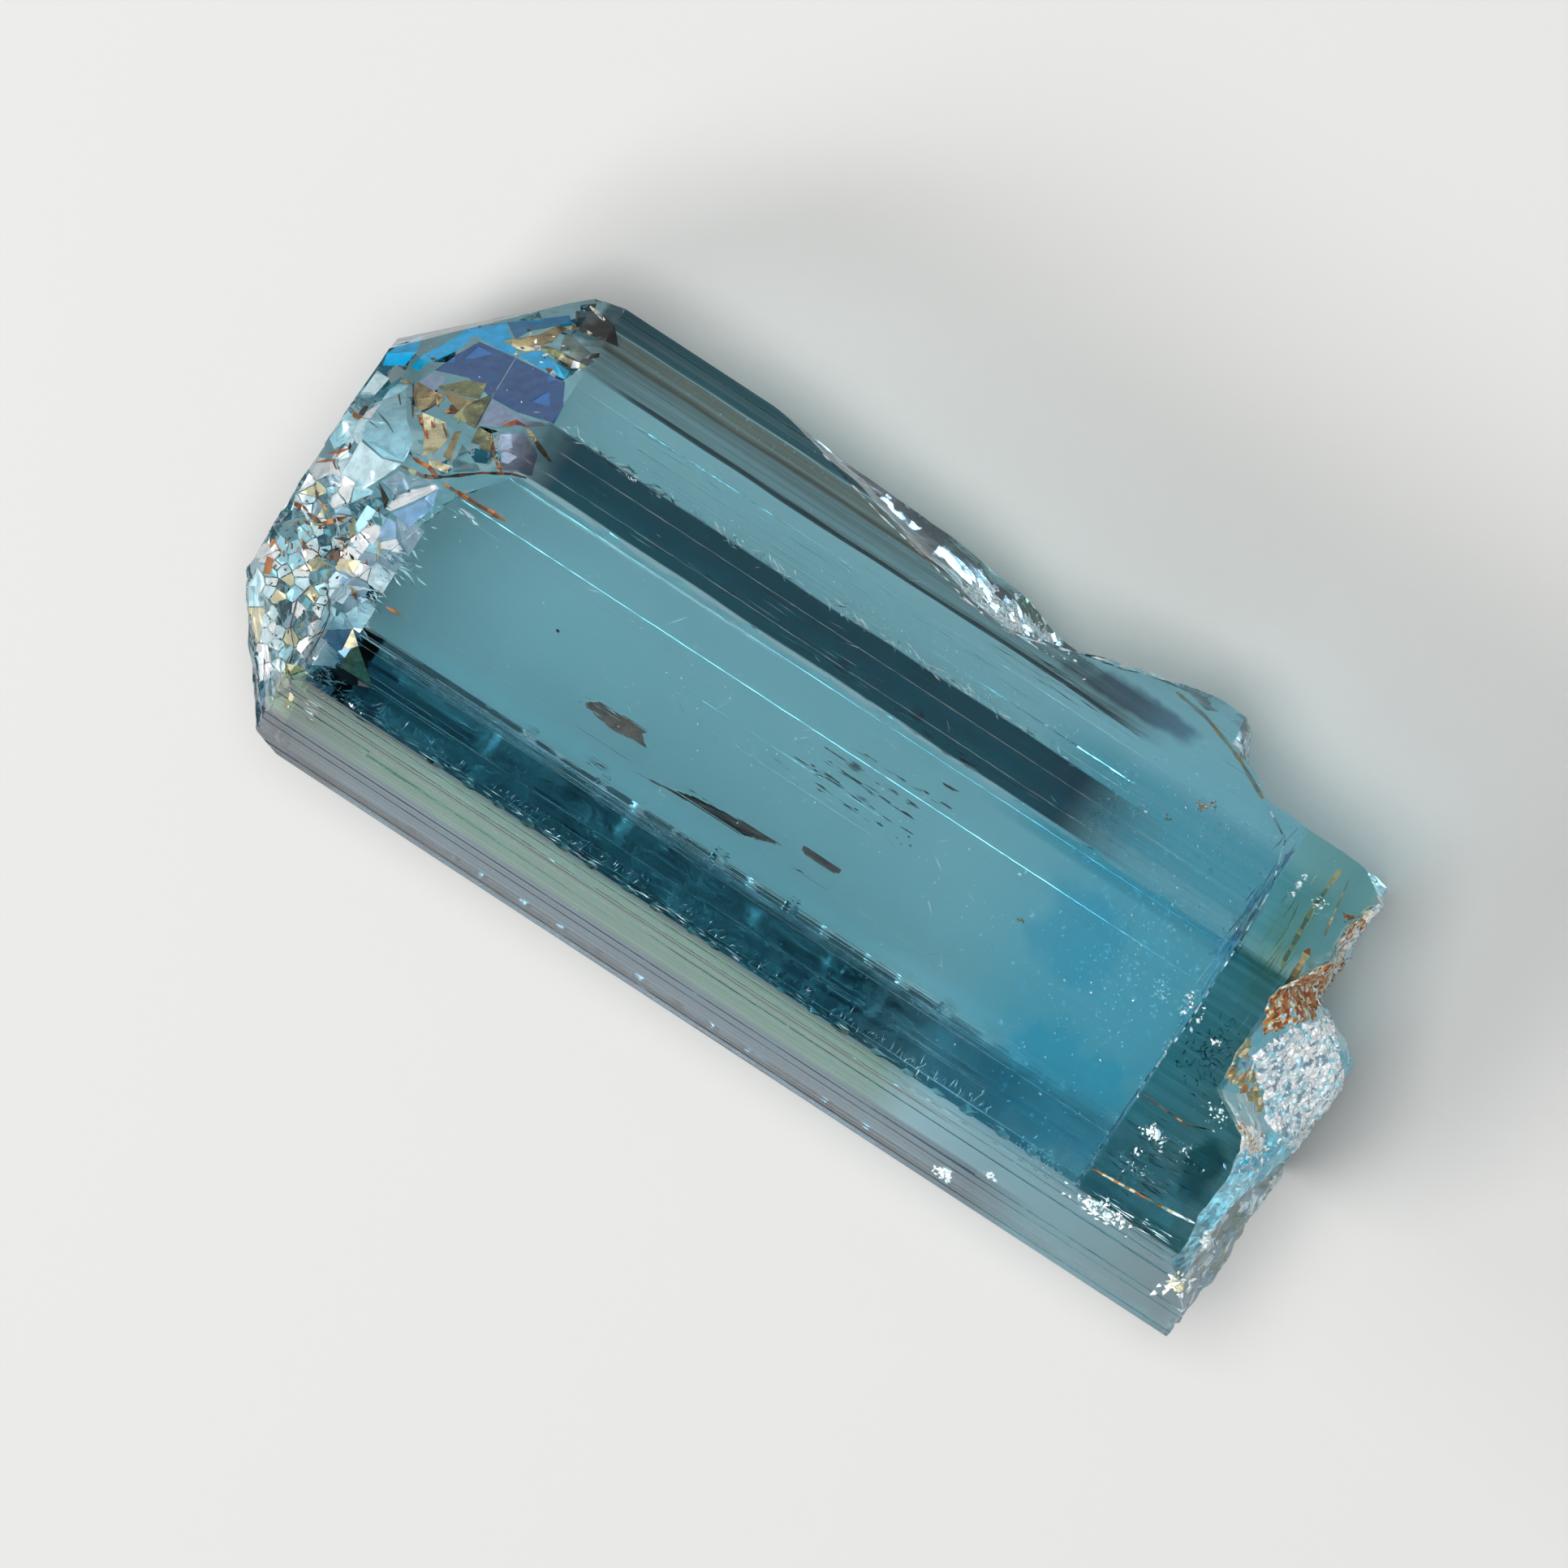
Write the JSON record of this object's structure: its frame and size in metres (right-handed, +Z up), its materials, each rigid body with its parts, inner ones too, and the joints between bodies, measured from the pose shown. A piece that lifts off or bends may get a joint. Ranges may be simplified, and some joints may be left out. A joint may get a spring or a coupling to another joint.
{
  "type": "aquamarine crystal",
  "caption": "Loose natural aquamarine crystal: a clear hexagonal prism with a bevelled, etched flat end and a broken, rust-stained base, lying on a prism face.",
  "frame": {"origin": "middle of the crystal's outline, on the surface that it lies on", "axes": "+X along the crystal from its flat end to its broken base, +Z up, +Y towards the chipped long edge"},
  "size_m": [0.02, 0.0096, 0.0084],
  "materials": {
    "aquamarine": "clear pale blue beryl with glassy striated prism faces, an etched end and a frosted, rust-stained broken base"
  },
  "bodies": {
    "root": {"crystal": "aquamarine"}
  },
  "joints": []
}
